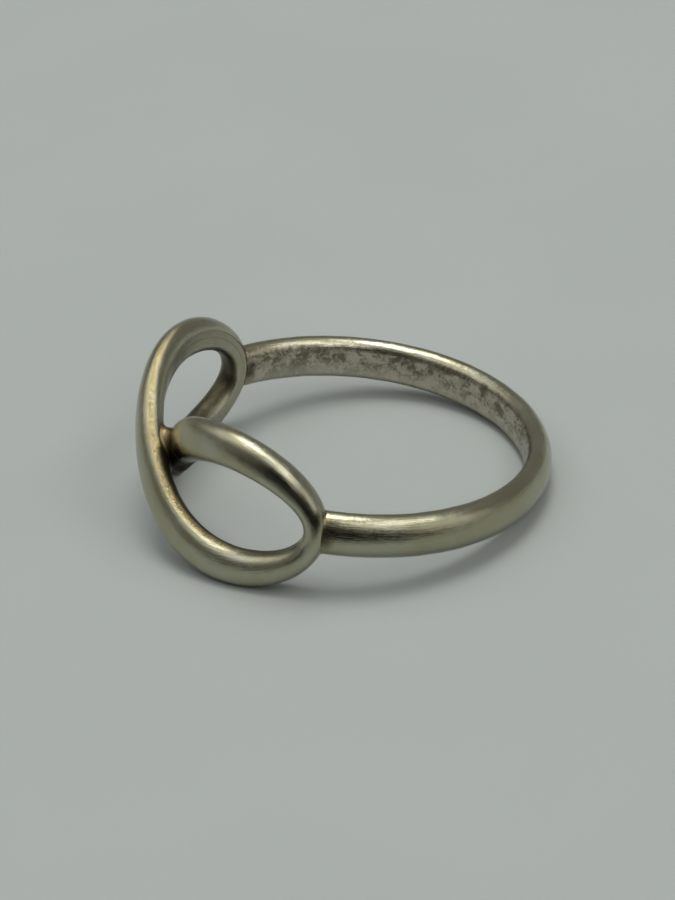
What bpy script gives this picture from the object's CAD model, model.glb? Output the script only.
"""Looks of the infinity ring: fine meshes, worn silver, and a small photo set.

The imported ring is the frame. Each of its five pieces is replaced by a fine, smooth mesh drawn with
the same formulas and the same sizes, with rounded edges and small hand-made unevenness.
Metres, +Z up. The ring's own frame leans: its finger axis is tilted towards +Y.
"""

import math

import bmesh
import bpy
import numpy as np
from mathutils import Matrix, Vector


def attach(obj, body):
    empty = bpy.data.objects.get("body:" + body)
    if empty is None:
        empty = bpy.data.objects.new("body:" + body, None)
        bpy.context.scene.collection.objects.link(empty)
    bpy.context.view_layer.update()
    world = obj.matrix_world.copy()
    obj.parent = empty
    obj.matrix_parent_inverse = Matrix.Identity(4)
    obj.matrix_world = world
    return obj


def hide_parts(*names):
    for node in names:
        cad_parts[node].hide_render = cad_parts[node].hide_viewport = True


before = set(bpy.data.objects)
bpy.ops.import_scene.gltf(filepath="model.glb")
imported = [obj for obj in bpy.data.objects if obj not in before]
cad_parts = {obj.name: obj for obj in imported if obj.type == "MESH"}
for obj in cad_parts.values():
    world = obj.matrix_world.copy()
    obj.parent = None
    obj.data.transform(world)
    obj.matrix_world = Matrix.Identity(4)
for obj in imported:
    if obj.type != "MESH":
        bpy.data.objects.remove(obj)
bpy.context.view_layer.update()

MM = 0.001

# ---- the ring's sizes, as in the frame, in millimetres ------------------------------------------
BORE_R, OVAL = 8.65, 0.14
SHANK_W, SHANK_T, SHANK_B, SHANK_K = 2.36, 1.30, 0.78, 1.90
WIRE_W_MID, WIRE_W_END, WIRE_NARROWS = 2.16, 1.06, 4
WIRE_T, WIRE_T_SWELL, WIRE_B, WIRE_K = 1.38, -0.045, 0.72, 2.25
EIGHT_LENGTH, EIGHT_POINT, EIGHT_TIP = 9.20, -0.50, -0.11
EIGHT_HEIGHT, EIGHT_SHOULDER = 3.00, 0.31
UNDER_DIP, UNDER_SPAN, UNDER_PRESS, PRESS_SPAN = 0.12, 0.70, 0.34, 0.50
OVER_SPAN, CROSS_FILM = 1.04, 0.08
LEAN = math.radians(-9.72)
BASE = Vector((0.0, 0.51455, 2.68719))     # the ring frame's origin, in millimetres
PLACE = Matrix.Translation(BASE * MM) @ Matrix.Rotation(LEAN, 4, "X")

SHANK_EDGE, WIRE_EDGE = 0.55, 0.15         # rounding of the edges next to the finger

# ---- camera and set -----------------------------------------------------------------------------
def add_camera():
    data = bpy.data.cameras.new("camera")
    data.sensor_width = 36.0
    data.lens = 122.918
    data.clip_start, data.clip_end = 0.005, 20.0
    cam = bpy.data.objects.new("camera", data)
    cam.location = (0.12756362, -0.02912923, 0.08438606)
    cam.rotation_euler = [math.radians(a) for a in (57.82226, 3.92799, 74.79410)]
    bpy.context.scene.collection.objects.link(cam)
    bpy.context.scene.camera = cam
    return cam


add_camera()


# ---- node helpers -------------------------------------------------------------------------------
class Graph:
    """A short way to write shader nodes."""

    def __init__(self, name):
        self.mat = bpy.data.materials.new(name)
        self.mat.use_nodes = True
        self.tree = self.mat.node_tree
        self.shader = self.tree.nodes["Principled BSDF"]
        self.column = 0

    def add(self, kind, **settings):
        node = self.tree.nodes.new(kind)
        self.column += 1
        node.location = (-220 * (self.column % 9) - 300, -240 * (self.column // 9))
        for key, value in settings.items():
            setattr(node, key, value)
        return node

    def join(self, out, into):
        self.tree.links.new(out, into)

    def value(self, socket, what):
        if isinstance(what, (int, float, tuple, list)):
            socket.default_value = what
        else:
            self.join(what, socket)

    def attribute(self, name, output="Fac"):
        node = self.add("ShaderNodeAttribute", attribute_type="GEOMETRY", attribute_name=name)
        return node.outputs[output]

    def math(self, operation, a, b=0.0, c=0.0, clamp=False):
        node = self.add("ShaderNodeMath", operation=operation, use_clamp=clamp)
        for socket, what in zip(node.inputs, (a, b, c)):
            self.value(socket, what)
        return node.outputs[0]

    def mapping(self, vector, scale=(1, 1, 1), location=(0, 0, 0)):
        node = self.add("ShaderNodeMapping")
        self.value(node.inputs["Vector"], vector)
        node.inputs["Scale"].default_value = scale
        node.inputs["Location"].default_value = location
        return node.outputs[0]

    def noise(self, vector, scale=1.0, detail=3.0, roughness=0.55, distortion=0.0):
        node = self.add("ShaderNodeTexNoise")
        self.value(node.inputs["Vector"], vector)
        node.inputs["Scale"].default_value = scale
        node.inputs["Detail"].default_value = detail
        node.inputs["Roughness"].default_value = roughness
        node.inputs["Distortion"].default_value = distortion
        return node.outputs["Fac"]

    def step(self, value, low, high, out_low=0.0, out_high=1.0):
        node = self.add("ShaderNodeMapRange", interpolation_type="SMOOTHSTEP")
        self.value(node.inputs["Value"], value)
        node.inputs["From Min"].default_value = low
        node.inputs["From Max"].default_value = high
        node.inputs["To Min"].default_value = out_low
        node.inputs["To Max"].default_value = out_high
        return node.outputs["Result"]

    def mix(self, share, a, b):
        node = self.add("ShaderNodeMix", data_type="RGBA")
        self.value(node.inputs[0], share)
        self.value(node.inputs[6], a)
        self.value(node.inputs[7], b)
        return node.outputs[2]

    def bump(self, height, distance, strength=1.0, normal=None):
        node = self.add("ShaderNodeBump")
        node.inputs["Strength"].default_value = strength
        node.inputs["Distance"].default_value = distance
        self.value(node.inputs["Height"], height)
        if normal is not None:
            self.join(normal, node.inputs["Normal"])
        return node.outputs["Normal"]


def worn_silver(name, silver, rough=0.07, gold=1.0, scratched=1.0):
    """Old polished silver: yellowed and browned where cloth doesn't reach, finely scratched along the wire.

    It reads what the meshes carry: flow (mm along the piece, mm round its section), inner (1 on the
    side next to the finger), soiled (1 where that side is stained), yellow (1 near the soldered places),
    hollow (1 on a loop's inner wall), rub (1 where an edge is scuffed) and recess (1 in the tight corners).
    """
    g = Graph(name)
    flow = g.attribute("flow", "Vector")
    inner, soiled, yellow, recess, hollow, rub = (
        g.attribute(n) for n in ("inner", "soiled", "yellow", "recess", "hollow", "rub"))
    place = g.add("ShaderNodeTexCoord").outputs["Object"]
    mm = g.mapping(place, scale=(1000, 1000, 1000))

    cloud = g.noise(mm, scale=0.55, detail=4.0, roughness=0.6)
    patch = g.noise(mm, scale=1.5, detail=5.0, roughness=0.62, distortion=0.4)
    speck = g.noise(mm, scale=5.5, detail=4.0, roughness=0.7)
    fine = g.noise(mm, scale=22.0, detail=3.0, roughness=0.6)
    long_marks = g.noise(g.mapping(flow, scale=(0.50, 13.0, 1.0)), scale=1.0, detail=5.0, roughness=0.75)
    short_marks = g.noise(g.mapping(flow, scale=(2.4, 19.0, 1.0), location=(7.0, 3.0, 5.0)), scale=1.0, detail=3.0, roughness=0.7)

    # colour
    warm = tuple(c * k for c, k in zip(silver, (0.92, 0.88, 0.76)))
    colour = g.mix(g.step(cloud, 0.35, 0.68), (*silver, 1.0), (*warm, 1.0))
    golden = g.math("MULTIPLY", g.step(g.math("ADD", g.math("MULTIPLY", patch, 0.60), g.math("MULTIPLY", yellow, 0.55)), 0.45, 0.95), 0.9 * gold)
    colour = g.mix(golden, colour, (0.45, 0.33, 0.145, 1.0))
    stain = g.math("MULTIPLY", soiled, g.step(g.math("ADD", g.math("MULTIPLY", patch, 0.62), g.math("MULTIPLY", speck, 0.38)), 0.42, 0.60))
    colour = g.mix(g.math("MULTIPLY", inner, 0.6), colour, (0.56, 0.50, 0.43, 1.0))
    colour = g.mix(g.math("MULTIPLY", stain, 0.88), colour, (0.14, 0.115, 0.083, 1.0))
    shadowed = g.math("MULTIPLY", hollow, g.step(g.math("ADD", g.math("MULTIPLY", cloud, 0.6), g.math("MULTIPLY", speck, 0.4)), 0.30, 0.62, 1.0, 0.80))
    colour = g.mix(shadowed, colour, (0.030, 0.024, 0.012, 1.0))
    scuffed = g.math("MULTIPLY", rub, g.step(g.math("ADD", g.math("MULTIPLY", fine, 0.5), g.math("MULTIPLY", speck, 0.5)), 0.40, 0.58, 0.10, 1.0))
    colour = g.mix(scuffed, colour, (0.88, 0.68, 0.31, 1.0))
    dark = g.math("MULTIPLY", recess, g.step(patch, 0.15, 0.55, 0.75, 1.0), clamp=True)
    colour = g.mix(dark, colour, (0.035, 0.026, 0.017, 1.0))
    g.join(colour, g.shader.inputs["Base Color"])
    g.shader.inputs["Metallic"].default_value = 1.0

    # gloss
    dull = g.math("ADD", rough, g.math("MULTIPLY", g.step(speck, 0.42, 0.75), 0.07))
    dull = g.math("ADD", dull, g.math("MULTIPLY", g.step(long_marks, 0.52, 0.75), 0.10 * scratched))
    dull = g.math("ADD", dull, g.math("MULTIPLY", inner, 0.10))
    dull = g.math("ADD", dull, g.math("MULTIPLY", stain, 0.16))
    dull = g.math("ADD", dull, g.math("MULTIPLY", golden, 0.08))
    dull = g.math("ADD", dull, g.math("MULTIPLY", shadowed, 0.36))
    dull = g.math("ADD", dull, g.math("MULTIPLY", scuffed, 0.17))
    dull = g.math("ADD", dull, g.math("MULTIPLY", dark, 0.3), clamp=True)
    g.join(dull, g.shader.inputs["Roughness"])

    # relief: dents, scratches along the wire, fine handling marks, pits on the inner side
    height = g.math("MULTIPLY", patch, 0.35)
    height = g.math("ADD", height, g.math("MULTIPLY", g.step(long_marks, 0.40, 0.60), 0.085 * scratched))
    height = g.math("ADD", height, g.math("MULTIPLY", g.step(short_marks, 0.40, 0.60), 0.040 * scratched))
    height = g.math("ADD", height, g.math("MULTIPLY", fine, 0.10))
    height = g.math("SUBTRACT", height, g.math("MULTIPLY", stain, 0.16))
    height = g.math("ADD", height, g.math("MULTIPLY", g.math("MULTIPLY", scuffed, speck), 1.1))
    g.join(g.bump(height, 0.030 * MM), g.shader.inputs["Normal"])
    return g.mat


# ---- mesh helpers -------------------------------------------------------------------------------
def rounded_d(thick, wide, half_height, roundness, edge, flat_steps=5, edge_steps=9, dome_steps=17):
    """Closed outline of the D section with its two lower edges rounded: (across, up) rows, from the
    middle of the flat side round by +across over the crown and back."""
    middle = thick - half_height
    last = math.acos(-((middle / half_height) ** (roundness / 2)))
    a = np.linspace(0.0, last, 500)
    c, s = np.cos(a), np.sin(a)
    up = middle + np.sign(c) * np.abs(c) ** (2 / roundness) * half_height
    across = np.sign(s) * np.abs(s) ** (2 / roundness) * wide / 2
    along = np.gradient(np.c_[across, up], axis=0)
    along /= np.linalg.norm(along, axis=1)[:, None]
    out = np.c_[-along[:, 1], along[:, 0]]
    centre = np.c_[across, up] - edge * out
    meet = int(np.argmax(centre[:, 1] < edge)) or len(a) - 1
    corner = np.array([centre[meet, 0], edge])
    turn_end = math.atan2(out[meet, 1], out[meet, 0])
    flat = np.c_[np.linspace(0, corner[0], flat_steps, endpoint=False), np.zeros(flat_steps)]
    angles = np.linspace(-math.pi / 2, turn_end, edge_steps, endpoint=False)
    arc = corner + edge * np.c_[np.cos(angles), np.sin(angles)]
    reach = np.concatenate([[0], np.cumsum(np.hypot(*np.diff(np.c_[across, up][: meet + 1], axis=0).T))])
    take = np.linspace(reach[-1], 0, dome_steps)
    dome = np.c_[np.interp(take, reach, across[: meet + 1]), np.interp(take, reach, up[: meet + 1])]
    half = np.concatenate([flat, arc, dome])
    other = half[1:-1][::-1] * [-1, 1]
    return np.concatenate([half, other])


def bore_radius(angle):
    return BORE_R + OVAL * np.cos(2 * angle)


def bend(flat):
    """Wraps points round the finger: x runs round the bore, y along the finger, z outwards."""
    angle = flat[:, 0] / BORE_R
    radius = bore_radius(angle) + flat[:, 2]
    return np.c_[radius * np.sin(angle), -radius * np.cos(angle), flat[:, 1]]


def unbend(points):
    """The other way: (angle, along the finger, height over the bore)."""
    angle = np.arctan2(points[:, 0], -points[:, 1])
    return angle, points[:, 2], np.hypot(points[:, 0], points[:, 1]) - bore_radius(angle)


def loft(name, rings, cyclic):
    """Joins rings of points, in millimetres in the ring's own frame, into one closed mesh."""
    count, sides = len(rings), len(rings[0])
    form = bmesh.new()
    rows = [[form.verts.new(p * MM) for p in ring] for ring in rings]
    for i in range(count if cyclic else count - 1):
        one, two = rows[i], rows[(i + 1) % count]
        for j in range(sides):
            k = (j + 1) % sides
            form.faces.new((one[j], one[k], two[k], two[j]))
    if not cyclic:
        form.faces.new(rows[0])
        form.faces.new(rows[-1])
    bmesh.ops.recalc_face_normals(form, faces=form.faces)
    if form.calc_volume(signed=True) < 0:
        bmesh.ops.reverse_faces(form, faces=form.faces)
    mesh = bpy.data.meshes.new(name)
    form.to_mesh(mesh)
    form.free()
    return mesh


def points_of(mesh):
    co = np.empty(len(mesh.vertices) * 3)
    mesh.vertices.foreach_get("co", co)
    return co.reshape(-1, 3) / MM


def set_points(mesh, points):
    mesh.vertices.foreach_set("co", (points * MM).astype(np.float32).ravel())
    mesh.update()


def carry(mesh, **fields):
    for name, values in fields.items():
        values = np.asarray(values, np.float32)
        kind, key = ("FLOAT_VECTOR", "vector") if values.ndim == 2 else ("FLOAT", "value")
        if name in mesh.attributes:
            mesh.attributes.remove(mesh.attributes[name])
        mesh.attributes.new(name, kind, "POINT").data.foreach_set(key, values.ravel())


def unevenness(points, size):
    """Hand-made waviness: a smooth sum of a few waves, in millimetres."""
    x, y, z = points.T
    return size * (
        np.sin(1.9 * x + 0.7 * y + 0.4) * np.cos(1.6 * y - 0.9 * z + 1.1)
        + 0.6 * np.sin(3.7 * y + 2.1 * z + 2.0) * np.cos(3.1 * x - 1.3 * z)
        + 0.4 * np.sin(6.1 * x + 4.7 * z + 0.3) * np.cos(5.3 * y + 2.2 * x)
    )


def smooth(x, low, high):
    t = np.clip((x - low) / (high - low), 0, 1)
    return t * t * (3 - 2 * t)


# ---- the figure of eight ------------------------------------------------------------------------
def bump(x, reach):
    return np.where(np.abs(x) < reach, 0.5 * (1 + np.cos(np.pi * x / reach)), 0.0)


def turned(angle):
    return np.arctan2(np.sin(angle), np.cos(angle))


def wire_width(u):
    return WIRE_W_MID - (WIRE_W_MID - WIRE_W_END) * np.abs(np.sin(u)) ** WIRE_NARROWS


def wire_swell(u):
    return 1 + WIRE_T_SWELL * np.cos(2 * u)


def wire_thick(u):
    return WIRE_T * wire_swell(u) - UNDER_PRESS * bump(turned(u), PRESS_SPAN)


OVER_LIFT = wire_thick(0) + CROSS_FILM - UNDER_DIP


def eight(u):
    rise = OVER_LIFT * bump(turned(u - np.pi), OVER_SPAN) - UNDER_DIP * bump(turned(u), UNDER_SPAN)
    return np.stack([
        EIGHT_LENGTH * np.sin(u) + EIGHT_POINT * np.sin(3 * u) + EIGHT_TIP * np.sin(5 * u),
        EIGHT_HEIGHT * np.sin(2 * u) + EIGHT_SHOULDER * np.sin(4 * u),
        rise,
    ], axis=-1)


JOINT = float(eight(np.pi / 2)[0])
WIRE_STEPS, SHANK_STEPS = 640, 420


def wire_rings(us, grow=0.0):
    rings, flows, ups = [], [], []
    travelled, before = 0.0, None
    for u in us:
        x, y, z = eight(u)
        ahead = (eight(u + 1e-4) - eight(u - 1e-4))[:2]
        ahead /= np.linalg.norm(ahead)
        outline = rounded_d(wire_thick(u), wire_width(u), WIRE_B * wire_swell(u), WIRE_K, WIRE_EDGE)
        if grow:
            edge = np.roll(outline, -1, axis=0) - np.roll(outline, 1, axis=0)
            edge /= np.linalg.norm(edge, axis=1)[:, None]
            outline = outline + grow * np.c_[edge[:, 1], -edge[:, 0]]
        a, h = outline.T
        flat = np.c_[x - ahead[1] * a, y + ahead[0] * a, z + h]
        rings.append(bend(flat))
        here = np.array([x, y])
        travelled += 0.0 if before is None else float(np.linalg.norm(here - before))
        before = here
        steps = np.hypot(*np.diff(outline, axis=0).T)
        round_it = np.concatenate([[0], np.cumsum(steps)])
        flows.append(np.c_[np.full(len(a), travelled), round_it, np.full(len(a), 0.0)])
        ups.append(np.c_[h, a / wire_width(u) * 2])
    return rings, np.concatenate(flows), np.concatenate(ups)


def solder_places(points):
    """Distances, in millimetres, to the crossing and to the two shoulders."""
    angle, y, up = unbend(points)
    x = angle * BORE_R
    crossing = np.sqrt(x ** 2 + y ** 2 + (0.6 * (up - 1.0)) ** 2)
    shoulders = np.sqrt((np.abs(x) - JOINT - 0.45) ** 2 + (0.7 * y) ** 2)
    return crossing, shoulders


def corner_shade(points):
    """1 in the two corners of the loops' holes next to the crossing, which no cloth reaches."""
    angle, y, up = unbend(points)
    away = np.sqrt((np.abs(angle * BORE_R) - 1.2) ** 2 + (0.95 * y) ** 2 + (0.8 * (up - 0.45)) ** 2)
    return 1 - smooth(away, 0.50, 1.25)


def finish_piece(name, mesh, material, node, slot, **fields):
    points = points_of(mesh)
    world = points @ np.array(PLACE.to_3x3()).T + np.array(BASE)
    world[:, 2] = np.maximum(world[:, 2], 0.0)          # the worn lands that the ring rests on
    set_points(mesh, world)
    carry(mesh, **fields)
    mesh.materials.clear()
    mesh.materials.append(material)
    mesh.shade_smooth()
    piece = bpy.data.objects.new(name, mesh)
    bpy.context.scene.collection.objects.link(piece)
    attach(piece, "root")
    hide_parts(node)
    return piece


def along_normals(mesh, points, amount):
    normals = np.empty(len(mesh.vertices) * 3, np.float32)
    mesh.vertices.foreach_get("normal", normals)
    set_points(mesh, points + normals.reshape(-1, 3) * amount[:, None])


# wire
us = np.linspace(0, 2 * np.pi, WIRE_STEPS, endpoint=False)
rings, wire_flow, wire_up = wire_rings(us)
wire_mesh = loft("wire_fine", rings, True)
wire_points = points_of(wire_mesh)
crossing, shoulders = solder_places(wire_points)
along_normals(wire_mesh, wire_points, unevenness(wire_points, 0.005) * smooth(crossing, 0.8, 2.0))
wire_inner = 0.4 * (1 - smooth(wire_up[:, 0], 0.02, 0.16))
towards_hole = -np.sign(np.sin(np.repeat(us, len(rings[0])))) * wire_up[:, 1]
upper_strand = smooth(-np.cos(np.repeat(us, len(rings[0]))), -0.1, 0.1)
wire_height = wire_up[:, 0]
off_centre = smooth(np.abs(wire_points[:, 0]), 0.25, 1.1)
wire_hollow = smooth(towards_hole, 0.55, 0.85) * np.where(
    wire_points[:, 0] < 0,
    1 - 0.6 * smooth(wire_height, 0.85, 1.3),
    1 - smooth(wire_height, 0.52, 0.80 + 0.22 * smooth(crossing, 4.0, 7.0)),
)
wire_hollow *= off_centre
wire_rub = smooth(-wire_up[:, 1], 0.52, 0.74) * smooth(wire_height, 0.52, 0.66) * (1 - smooth(wire_height, 0.80, 0.95))
wire_rub *= upper_strand * (1 - smooth(np.abs(crossing - 1.5), 2.0, 6.5))
wire_yellow = (1 - smooth(crossing, 0.9, 2.6)) * (1 - 0.85 * upper_strand)
wire_yellow = np.maximum(wire_yellow, 0.4 * (1 - smooth(shoulders, 0.3, 1.2)))
wire_low = wire_height + 0.45 * upper_strand
wire_recess = (1 - smooth(crossing, 1.15, 1.9)) * (1 - smooth(wire_low, 0.70, 1.0))
wire_recess = np.maximum(wire_recess, corner_shade(wire_points) * (1 - smooth(wire_low, 1.05, 1.25)))
wire_recess = np.maximum(wire_recess, smooth(towards_hole, 0.55, 0.85) * (1 - smooth(wire_low, 0.75, 1.1)) * (1 - smooth(crossing, 1.7, 3.2)) * off_centre)
wire_recess *= 1 - 0.92 * (1 - smooth(wire_height, 0.03, 0.30)) * (1 - upper_strand)     # the finger polishes it
wire = finish_piece(
    "infinity_wire_fine", wire_mesh,
    worn_silver("wire_silver_worn", (0.425, 0.420, 0.325)),
    "infinity_wire", "wire_silver",
    flow=wire_flow, inner=wire_inner, soiled=0.35 * wire_inner, yellow=wire_yellow, recess=wire_recess,
    hollow=wire_hollow, rub=wire_rub,
)


# shank, coped to the loops
def shank_rings(start, end, count, scales=None, edge=SHANK_EDGE, grow=0.0):
    outline = rounded_d(SHANK_T, SHANK_W, SHANK_B, SHANK_K, edge)
    if grow:
        step = np.roll(outline, -1, axis=0) - np.roll(outline, 1, axis=0)
        step /= np.linalg.norm(step, axis=1)[:, None]
        outline = outline + grow * np.c_[step[:, 1], -step[:, 0]]
    rings = []
    for i in range(count):
        k = scales[i] if scales is not None else 1.0
        x = start + (end - start) * i / (count - 1)
        rings.append(bend(np.c_[np.full(len(outline), x), outline[:, 0] * k, outline[:, 1] * k]))
    return rings


def loop_cutter(name, middle, grow):
    spans = np.linspace(middle - 1.15, middle + 1.15, 220)
    obj = bpy.data.objects.new(name, loft(name, wire_rings(spans, grow)[0], False))
    bpy.context.scene.collection.objects.link(obj)
    return obj


def difference(mesh, cutters):
    obj = bpy.data.objects.new(mesh.name + "_blank", mesh)
    bpy.context.scene.collection.objects.link(obj)
    for cutter in cutters:
        mod = obj.modifiers.new("cut", "BOOLEAN")
        mod.operation, mod.solver, mod.object = "DIFFERENCE", "EXACT", cutter
    bpy.context.view_layer.update()
    made = bpy.data.meshes.new_from_object(obj.evaluated_get(bpy.context.evaluated_depsgraph_get()))
    bpy.data.objects.remove(obj, do_unlink=True)
    return made


def fields_by_place(points):
    """What the material reads, for pieces that lie round the finger."""
    angle, y, up = unbend(points)
    angle = np.mod(angle, 2 * np.pi)
    crossing, shoulders = solder_places(points)
    shoulders = np.minimum(shoulders, np.hypot(np.minimum(angle, 2 * np.pi - angle) * BORE_R - JOINT - 0.45, 0.7 * y))
    return dict(
        flow=np.c_[angle * BORE_R, np.arctan2(y, up - 0.5) * 0.9, 0 * y],
        inner=1 - smooth(up, 0.02, 0.18),
        soiled=(1 - smooth(up, 0.02, 0.18)) * (0.25 + 0.75 * smooth(y, -0.95, 0.35)),
        yellow=0.55 * (1 - smooth(shoulders, 0.2, 1.9)),
        recess=0.75 * (1 - smooth(shoulders, 0.10, 0.60)),
        hollow=0 * y,
        rub=0 * y,
    )


around = 2 * math.pi * BORE_R
cutters = [loop_cutter("right_loop", math.pi / 2, 0.018), loop_cutter("left_loop", 3 * math.pi / 2, 0.018)]
shank_mesh = loft("shank_fine", shank_rings(JOINT, around - JOINT, SHANK_STEPS), False)
shank_points = points_of(shank_mesh)
angle, _, _ = unbend(shank_points)
away = smooth(np.abs(angle) * BORE_R, JOINT + 0.9, JOINT + 2.5)
along_normals(shank_mesh, shank_points, unevenness(shank_points, 0.007) * away)
shank_mesh = difference(shank_mesh, cutters)
shank = finish_piece(
    "shank_fine", shank_mesh,
    worn_silver("band_silver_worn", (0.425, 0.420, 0.322)),
    "shank", "band_silver",
    **fields_by_place(points_of(shank_mesh)),
)

# ---- solder -------------------------------------------------------------------------------------
def joined(name, meshes):
    form = bmesh.new()
    for mesh in meshes:
        form.from_mesh(mesh)
    made = bpy.data.meshes.new(name)
    form.to_mesh(made)
    form.free()
    return made


def run_modifier(mesh, kind, **settings):
    obj = bpy.data.objects.new(mesh.name + "_blank", mesh)
    bpy.context.scene.collection.objects.link(obj)
    mod = obj.modifiers.new("step", kind)
    for key, value in settings.items():
        setattr(mod, key, value)
    bpy.context.view_layer.update()
    made = bpy.data.meshes.new_from_object(obj.evaluated_get(bpy.context.evaluated_depsgraph_get()))
    bpy.data.objects.remove(obj, do_unlink=True)
    return made


def flowed_solder(name, bars, centre, reach, voxel, passes, sink):
    """Solder as it sets: the bars are fused and relaxed, so the metal creeps into the corners between
    them, and then the bars themselves are taken out again. centre and reach, in millimetres in the
    ring's frame, bound what is kept."""
    fused = joined(name, bars)
    fused.transform(Matrix.Scale(1000, 4))
    fused = run_modifier(fused, "REMESH", mode="VOXEL", voxel_size=voxel, adaptivity=0.0)
    form = bmesh.new()
    form.from_mesh(fused)
    far = [v for v in form.verts if (v.co - Vector(centre)).length > reach]
    bmesh.ops.delete(form, geom=far, context="VERTS")
    rim = [v for v in form.verts if v.is_boundary]
    free = [v for v in form.verts if not v.is_boundary]
    for _ in range(passes):
        bmesh.ops.smooth_vert(form, verts=free, factor=0.5, use_axis_x=True, use_axis_y=True, use_axis_z=True)
    form.normal_update()
    for v in form.verts:
        v.co -= v.normal * sink * (3.0 if v.is_boundary else 1.0)
    bmesh.ops.holes_fill(form, edges=[e for e in form.edges if e.is_boundary], sides=0)
    bmesh.ops.triangulate(form, faces=[f for f in form.faces if len(f.verts) > 4])
    bmesh.ops.recalc_face_normals(form, faces=form.faces)
    form.to_mesh(fused)
    form.free()
    fused.transform(Matrix.Scale(0.001, 4))
    return fused


def part_of_wire(name, middle, span, count, grow=0.0):
    return loft(name, wire_rings(np.linspace(middle - span, middle + span, count), grow)[0], False)


def add_solder(node, mesh, **changes):
    fields = fields_by_place(points_of(mesh))
    fields.update({key: np.zeros(len(mesh.vertices)) + value for key, value in changes.items()})
    finish_piece(node + "_fine", mesh, solder_metal, node, "solder", **fields)


solder_metal = worn_silver("solder_worn", (0.40, 0.36, 0.24), rough=0.15, gold=0.6, scratched=0.6)
for cutter in cutters:
    bpy.data.objects.remove(cutter, do_unlink=True)
for node, way, middle in (("right_shoulder_solder", 1, math.pi / 2), ("left_shoulder_solder", -1, 3 * math.pi / 2)):
    stub = loft("stub", shank_rings(way * JOINT, way * (JOINT + 3.2), 60), False)
    loop = part_of_wire("loop", middle, 0.75, 150)
    spot = bend(np.array([[way * (JOINT + 0.5), 0.0, 0.6]]))[0]
    add_solder(node, flowed_solder(node, [stub, loop], spot, 1.9, 0.035, 70, 0.012), hollow=0.0)

under, over = part_of_wire("under", 0.0, 0.42, 120), part_of_wire("over", math.pi, 0.42, 120)
drop = bpy.data.meshes.new("drop")
form = bmesh.new()
bmesh.ops.create_uvsphere(form, u_segments=32, v_segments=16, radius=1.0)
bmesh.ops.transform(form, verts=form.verts, matrix=(
    Matrix.Translation((0.0, -(bore_radius(0) + wire_thick(0) - UNDER_DIP + 0.05) * MM, 0.10 * MM))
    @ Matrix.Diagonal((0.70 * MM, 0.42 * MM, 1.35 * MM, 1.0))))
form.to_mesh(drop)
form.free()
spot = (0.0, float(-(bore_radius(0) + 0.95)), 0.0)
web = flowed_solder("crossing_solder", [under, over, drop], spot, 2.6, 0.05, 220, 0.014)
add_solder("crossing_solder", web, inner=0.0, soiled=0.0, yellow=1.0, hollow=0.0,
           recess=np.maximum(0.58, corner_shade(points_of(web))))


# ---- the set ------------------------------------------------------------------------------------
def add_floor():
    bpy.ops.mesh.primitive_circle_add(vertices=96, radius=1.6, fill_type="NGON")
    floor = bpy.context.object
    floor.name = "floor"
    g = Graph("pale_table")
    place = g.add("ShaderNodeTexCoord").outputs["Object"]
    grain = g.noise(g.mapping(place, scale=(1000, 1000, 1000)), scale=2.4, detail=4.0)
    broad = g.noise(g.mapping(place, scale=(1000, 1000, 1000)), scale=0.06, detail=2.0)
    tone = g.math("ADD", g.math("MULTIPLY", grain, 0.25), g.math("MULTIPLY", broad, 0.75))
    colour = g.mix(g.step(tone, 0.35, 0.65), (0.378, 0.405, 0.402, 1.0), (0.388, 0.415, 0.412, 1.0))
    g.join(colour, g.shader.inputs["Base Color"])
    g.shader.inputs["Roughness"].default_value = 0.85
    g.shader.inputs["Specular IOR Level"].default_value = 0.2
    floor.data.materials.append(g.mat)


def direction(azimuth, elevation):
    a, e = math.radians(azimuth), math.radians(elevation)
    return (math.sin(a) * math.cos(e), -math.cos(a) * math.cos(e), math.sin(e))


# The room that the silver mirrors: (azimuth, elevation, inner and outer half-angle, colour added)
SOFT_LIGHTS = (
    (250, 84, 6, 17, (7.0, 7.0, 6.7)),         # ceiling light
    (0, 90, 14, 50, (0.55, 0.56, 0.54)),       # the ceiling round it
    (255, 70, 4, 15, (1.0, 1.0, 0.95)),
    (100, 44, 5, 14, (1.8, 1.78, 1.66)),       # a row of lamps over the camera
    (96, 27, 5, 12, (0.80, 0.79, 0.73)),
    (120, 51, 5, 14, (1.8, 1.78, 1.68)),
    (150, 54, 4, 12, (3.0, 2.98, 2.85)),
    (15, 52, 5, 18, (0.60, 0.60, 0.57)),
    (336, 46, 6, 27, (0.70, 0.70, 0.66)),      # window on the far left
    (136, 18, 8, 26, (0.62, 0.61, 0.55)),      # pale wall on the right
)
ROOM = (0.225, 0.225, 0.214)
SHADE = (68, 1, 32, 48)                       # the dark figure behind the camera


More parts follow.
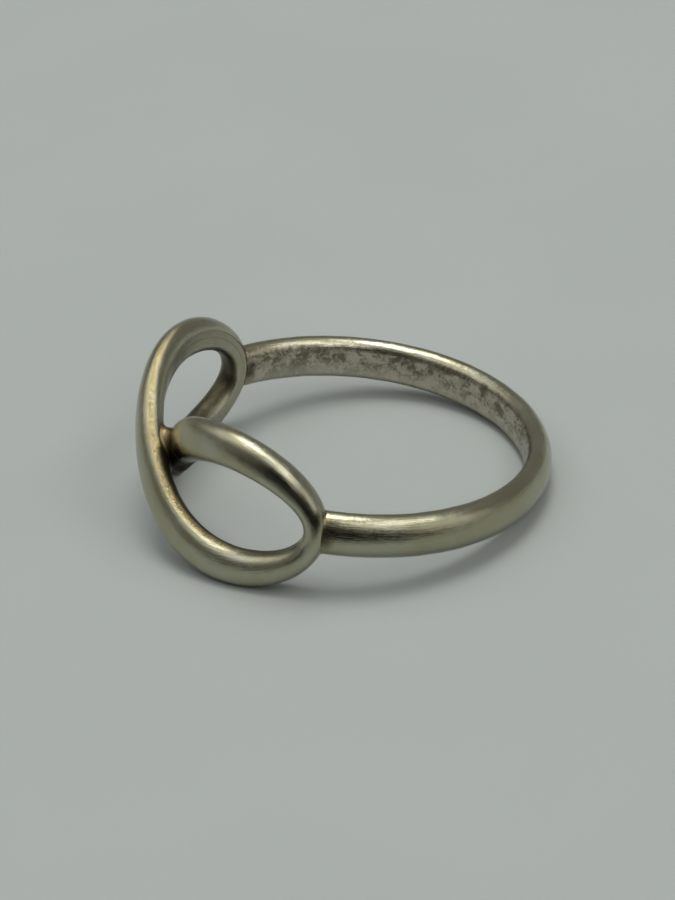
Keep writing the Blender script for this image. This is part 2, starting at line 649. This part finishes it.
def add_world():
    world = bpy.data.worlds.new("room")
    bpy.context.scene.world = world
    world.use_nodes = True
    tree = world.node_tree
    back = tree.nodes["Background"]
    coords = tree.nodes.new("ShaderNodeTexCoord").outputs["Generated"]

    def blob(azimuth, elevation, inner, outer):
        dot = tree.nodes.new("ShaderNodeVectorMath")
        dot.operation = "DOT_PRODUCT"
        tree.links.new(coords, dot.inputs[0])
        dot.inputs[1].default_value = direction(azimuth, elevation)
        fall = tree.nodes.new("ShaderNodeMapRange")
        fall.interpolation_type = "SMOOTHSTEP"
        tree.links.new(dot.outputs["Value"], fall.inputs["Value"])
        fall.inputs["From Min"].default_value = math.cos(math.radians(outer))
        fall.inputs["From Max"].default_value = math.cos(math.radians(inner))
        return fall.outputs["Result"]

    def blend(kind, share, a, b):
        node = tree.nodes.new("ShaderNodeMix")
        node.data_type, node.blend_type = "RGBA", kind
        tree.links.new(share, node.inputs[0])
        for socket, what in ((node.inputs[6], a), (node.inputs[7], b)):
            if isinstance(what, tuple):
                socket.default_value = (*what, 1.0)
            else:
                tree.links.new(what, socket)
        return node.outputs[2]

    light = blend("MIX", blob(*SHADE), ROOM, (0.012, 0.012, 0.010))
    for azimuth, elevation, inner, outer, colour in SOFT_LIGHTS:
        light = blend("ADD", blob(azimuth, elevation, inner, outer), light, colour)
    tree.links.new(light, back.inputs["Color"])
    back.inputs["Strength"].default_value = 1.0


def add_backdrop():
    """A plain pale wall far round the table. Only the camera sees it: the silver mirrors the room."""
    bpy.ops.mesh.primitive_cylinder_add(vertices=128, radius=1.55, depth=3.0, end_fill_type="NOTHING", location=(0, 0, 1.499))
    wall = bpy.context.object
    wall.name = "backdrop"
    g = Graph("pale_backdrop")
    g.shader.inputs["Base Color"].default_value = (0.0, 0.0, 0.0, 1.0)
    g.shader.inputs["Specular IOR Level"].default_value = 0.0
    g.shader.inputs["Emission Color"].default_value = (0.40, 0.42, 0.405, 1.0)
    g.shader.inputs["Emission Strength"].default_value = 1.0
    wall.data.materials.append(g.mat)
    wall.visible_diffuse = wall.visible_glossy = wall.visible_shadow = False
    wall.visible_transmission = wall.visible_volume_scatter = False


def add_flag():
    """A black card lying towards the camera, which only the silver mirrors, as in a product photograph."""
    bpy.ops.mesh.primitive_grid_add(x_subdivisions=2, y_subdivisions=2, size=0.5, location=(0, 0, 0.00004))
    card = bpy.context.object
    card.name = "black_flag"
    g = Graph("flag_black")
    place = g.add("ShaderNodeTexCoord").outputs["Object"]
    toward = g.add("ShaderNodeVectorMath", operation="DOT_PRODUCT")
    g.join(place, toward.inputs[0])
    toward.inputs[1].default_value = tuple(1000 * c for c in direction(76, 0))
    cover = g.step(toward.outputs["Value"], 14.0, 20.0)
    glass = g.add("ShaderNodeBsdfTransparent")
    black = g.add("ShaderNodeBsdfDiffuse")
    black.inputs["Color"].default_value = (0.012, 0.011, 0.010, 1.0)
    both = g.add("ShaderNodeMixShader")
    g.join(cover, both.inputs[0])
    g.join(glass.outputs[0], both.inputs[1])
    g.join(black.outputs[0], both.inputs[2])
    out = next(n for n in g.tree.nodes if n.type == "OUTPUT_MATERIAL")
    g.join(both.outputs[0], out.inputs["Surface"])
    card.data.materials.append(g.mat)
    card.visible_camera = card.visible_diffuse = card.visible_shadow = False


add_floor()
add_flag()
add_backdrop()
add_world()

bpy.context.scene.view_settings.view_transform = "Standard"

bpy.context.view_layer.update()
